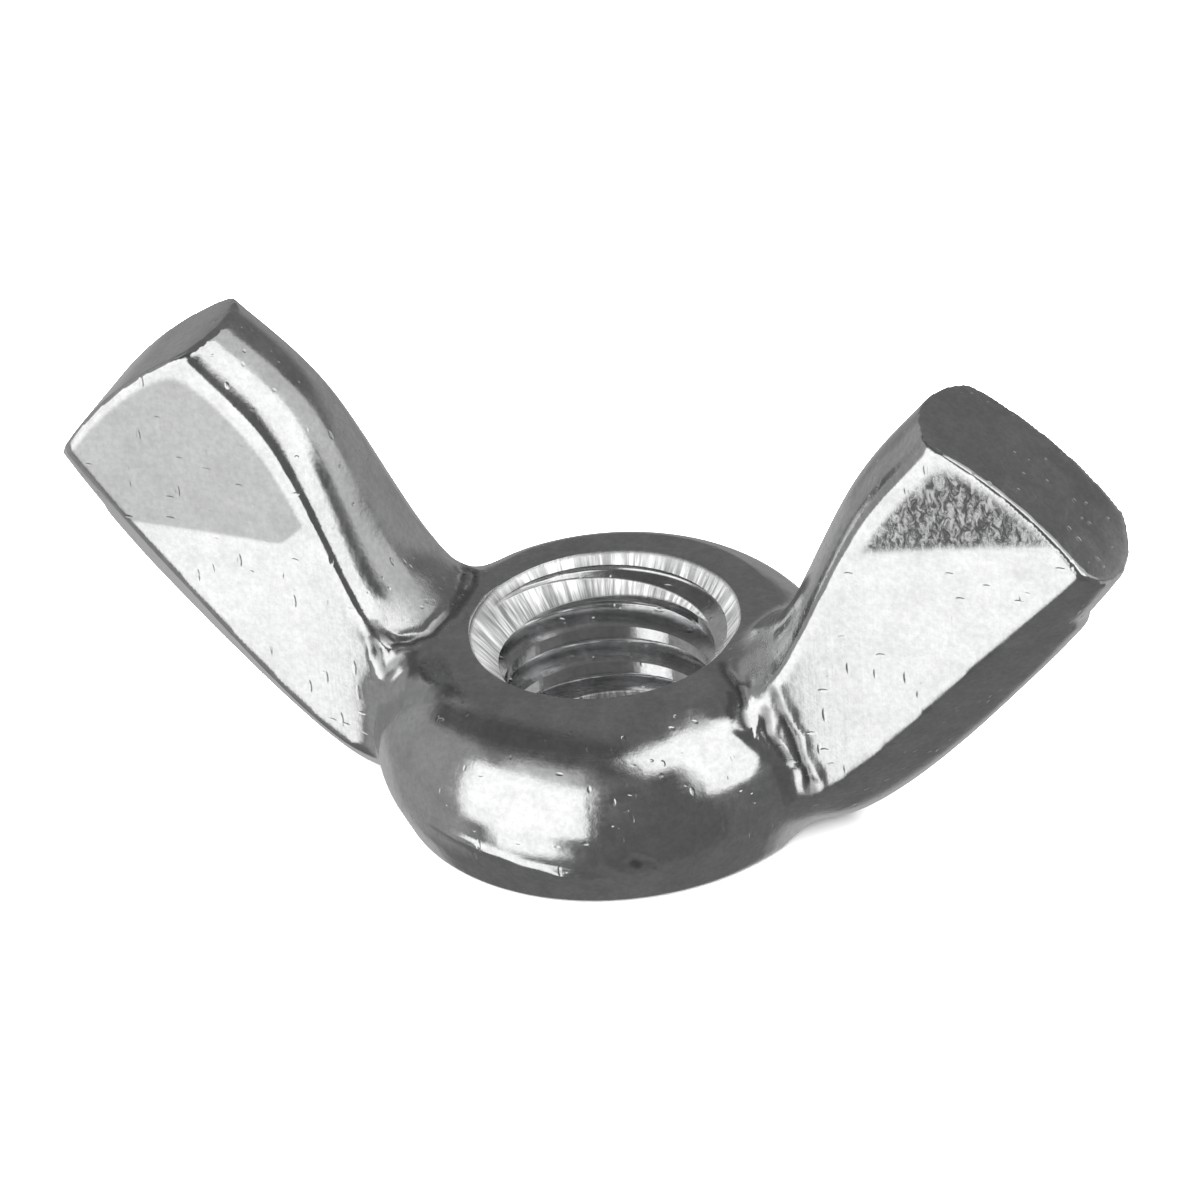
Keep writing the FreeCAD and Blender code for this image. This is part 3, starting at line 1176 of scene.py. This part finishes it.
    def height(self, bench: NodeBench, made: Patterns) -> bpy.types.NodeSocket:
        """How far the skin stands out.

        Args:
            bench: the node tree.
            made: the patterns.

        Returns:
            The height, in micrometres.
        """
        out = self.relief
        return bench.weighted(
            (made.speckle, out.speckle), (made.swell, out.swell), (made.dings, out.dings),
            (bench.maths("MULTIPLY", made.grain, made.grained_and_painted_reflection), out.grain),
            (bench.maths("MULTIPLY", made.streaks, made.mouth), out.streaks),
            (made.scratches, out.scratches),
            (bench.maths("MULTIPLY", made.grain, made.foot), out.foot))

    def make(self) -> bpy.types.Material:
        """Makes the material.

        Returns:
            The new material.
        """
        material = bpy.data.materials.new(self.name)
        material.use_nodes = True
        tree = material.node_tree
        bench = NodeBench(tree)
        shader = tree.nodes["Principled BSDF"]
        texture = tree.nodes.new("ShaderNodeTexCoord")
        to_millimetres = (1 / MM,) * 3
        made = self.patterns(bench, bench.placed(texture.outputs["Object"], to_millimetres))

        tint = tree.nodes.new("ShaderNodeMix")
        tint.data_type = "RGBA"
        tint.clamp_factor = False
        bench.feed(tint.inputs["Factor"], self.tone(bench, made))
        tint.inputs["A"].default_value = (0.0, 0.0, 0.0, 1.0)
        tint.inputs["B"].default_value = (*self.colour, 1.0)
        bench.feed(shader.inputs["Base Color"], tint.outputs["Result"])
        bench.feed(shader.inputs["Roughness"], self.rough(bench, made))
        bench.feed(shader.inputs["Metallic"],
                   bench.ramp(made.mouth, 0.0, 1.0, 1.0, self.mouth_metal))

        bump = tree.nodes.new("ShaderNodeBump")
        bump.inputs["Strength"].default_value = 1.0
        bump.inputs["Distance"].default_value = 1e-6
        bench.feed(bump.inputs["Height"], self.height(bench, made))
        bench.feed(shader.inputs["Normal"], bump.outputs["Normal"])
        return material


@dataclass(frozen=True)
class SoftBox:
    """A soft, even light in the studio that the metal mirrors, or a dark screen.

    Angles are in degrees, as heading() reads them.
    """

    azimuth: float
    elevation: float
    half_width: float
    half_height: float
    strength: float
    softness: float

    def mask(self, bench: NodeBench, direction: bpy.types.NodeSocket) -> bpy.types.NodeSocket:
        """Where the box stands in the surroundings.

        Args:
            bench: the world's node tree.
            direction: the direction that is looked up.

        Returns:
            1 in the box and 0 outside, with a soft edge.
        """
        azimuth = math.radians(self.azimuth)
        middle = heading(self.azimuth, self.elevation)
        across = Vector((math.cos(azimuth), math.sin(azimuth), 0.0))
        depth = bench.dot(direction, middle)
        edges = []
        for axis, half in ((across, self.half_width), (middle.cross(across), self.half_height)):
            angle = bench.maths("ARCTAN2", bench.dot(direction, axis), depth)
            edges.append(bench.ramp(bench.maths("ABSOLUTE", angle),
                                    math.radians(half - self.softness),
                                    math.radians(half + self.softness), 1.0, 0.0))
        return bench.maths("MULTIPLY", *edges)


@dataclass
class Studio:
    """The floor, the lights, the surroundings that the metal mirrors, and the camera.

    The lamp's sizes are in metres, the camera's distance and shift in millimetres.
    """

    hub: Hub = field(default_factory=Hub)
    floor_tone: float = 0.86
    lamp_place: tuple[float, float, float] = (-0.1, -0.1, 0.6)
    lamp_size: float = 2.4
    lamp_power: float = 110.0
    camera_azimuth: float = 24.55
    camera_elevation: float = 32.32
    camera_roll: float = -6.15
    camera_distance: float = 156.55
    camera_shift: tuple[float, float] = (-0.11, 0.54)
    sensor: float = 36.0
    lens: float = 202.1
    dim: float = 0.15
    boxes: tuple[SoftBox, ...] = (
        SoftBox(-88, -2, 38, 46, 0.32, 8),
        SoftBox(-155, 35, 25, 20, 0.15, 8),
        SoftBox(180, -8, 50, 12, 0.3, 8),
        SoftBox(180, -42, 60, 20, 0.45, 6),
        SoftBox(38, -15, 32, 42, 0.12, 5),
        SoftBox(-20, 62, 60, 14, 0.09, 6),
        SoftBox(-18, 36, 17, 9, 0.6, 6),
        SoftBox(-23, 5, 31, 27, 1.3, 3),
        SoftBox(-25, -30, 15, 12, 1.25, 4),
        SoftBox(66, 50, 22, 12, 1.25, 4),
        SoftBox(80, 32, 20, 30, 1.25, 3),
        SoftBox(117, 30, 14, 32, 0.62, 2),
    )

    def floor(self) -> bpy.types.Object:
        """A plain pale floor that the nut stands on.

        Returns:
            The floor.
        """
        mesh = bmesh.new()
        bmesh.ops.create_grid(mesh, x_segments=1, y_segments=1, size=3.0)
        floor = object_from(mesh, "studio_floor")
        material = bpy.data.materials.new("pale_floor")
        material.use_nodes = True
        shader = material.node_tree.nodes["Principled BSDF"]
        shader.inputs["Base Color"].default_value = (*(self.floor_tone,) * 3, 1.0)
        shader.inputs["Roughness"].default_value = 0.9
        shader.inputs["Specular IOR Level"].default_value = 0.1
        floor.data.materials.append(material)
        floor.visible_glossy = False
        return floor

    def lights(self) -> None:
        """One broad soft light overhead, for the floor and the nut's soft shadow."""
        data = bpy.data.lights.new("overhead", "AREA")
        data.shape = "SQUARE"
        data.size = self.lamp_size
        data.energy = self.lamp_power
        lamp = bpy.data.objects.new("overhead", data)
        lamp.location = self.lamp_place
        lamp.rotation_euler = Vector(self.lamp_place).to_track_quat("Z", "Y").to_euler()
        lamp.visible_glossy = False
        bpy.context.scene.collection.objects.link(lamp)

    def surroundings(self) -> None:
        """The dim room and the soft boxes in it, as the world's light."""
        world = bpy.data.worlds.new("studio")
        bpy.context.scene.world = world
        world.use_nodes = True
        bench = NodeBench(world.node_tree)
        direction = world.node_tree.nodes.new("ShaderNodeTexCoord").outputs["Generated"]
        total: bpy.types.NodeSocket | float = self.dim
        for box in self.boxes:
            total = bench.mixed(box.mask(bench, direction), total, box.strength)
        background = world.node_tree.nodes["Background"]
        background.inputs["Color"].default_value = (1.0, 1.0, 1.0, 1.0)
        bench.feed(background.inputs["Strength"], total)

    def camera(self) -> bpy.types.Object:
        """A long lens from the front right, a third of the way up, rolled a little.

        Returns:
            The scene's camera.
        """
        azimuth, roll = math.radians(self.camera_azimuth), math.radians(self.camera_roll)
        back = heading(self.camera_azimuth, self.camera_elevation)
        level = Vector((math.cos(azimuth), math.sin(azimuth), 0.0))
        above = back.cross(level)
        right = level * math.cos(roll) + above * math.sin(roll)
        up = above * math.cos(roll) - level * math.sin(roll)
        shift = right * self.camera_shift[0] + up * self.camera_shift[1]
        place = (Vector((0.0, 0.0, self.hub.height)) + back * self.camera_distance + shift) * MM
        data = bpy.data.cameras.new("camera")
        data.sensor_width = self.sensor
        data.lens = self.lens
        data.clip_start = 0.01
        camera = bpy.data.objects.new("camera", data)
        turn = Matrix((right, up, back)).transposed().to_4x4()
        camera.matrix_world = Matrix.Translation(place) @ turn
        bpy.context.scene.collection.objects.link(camera)
        bpy.context.scene.camera = camera
        bpy.context.scene.view_settings.view_transform = "Standard"
        return camera

    def build(self) -> None:
        """Sets up the whole studio."""
        self.floor()
        self.lights()
        self.surroundings()
        self.camera()


def main() -> None:
    """Builds the nut and its studio."""
    logging.basicConfig(level=logging.INFO, format="%(name)s: %(message)s")
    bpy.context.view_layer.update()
    nut = Forging().build()
    nut.data.materials.append(PlatedSteel().make())
    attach(nut, "root")
    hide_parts("wing_nut")
    log.info("%s: %d faces", nut.name, len(nut.data.polygons))
    Studio().build()


if __name__ == "__main__":
    main()
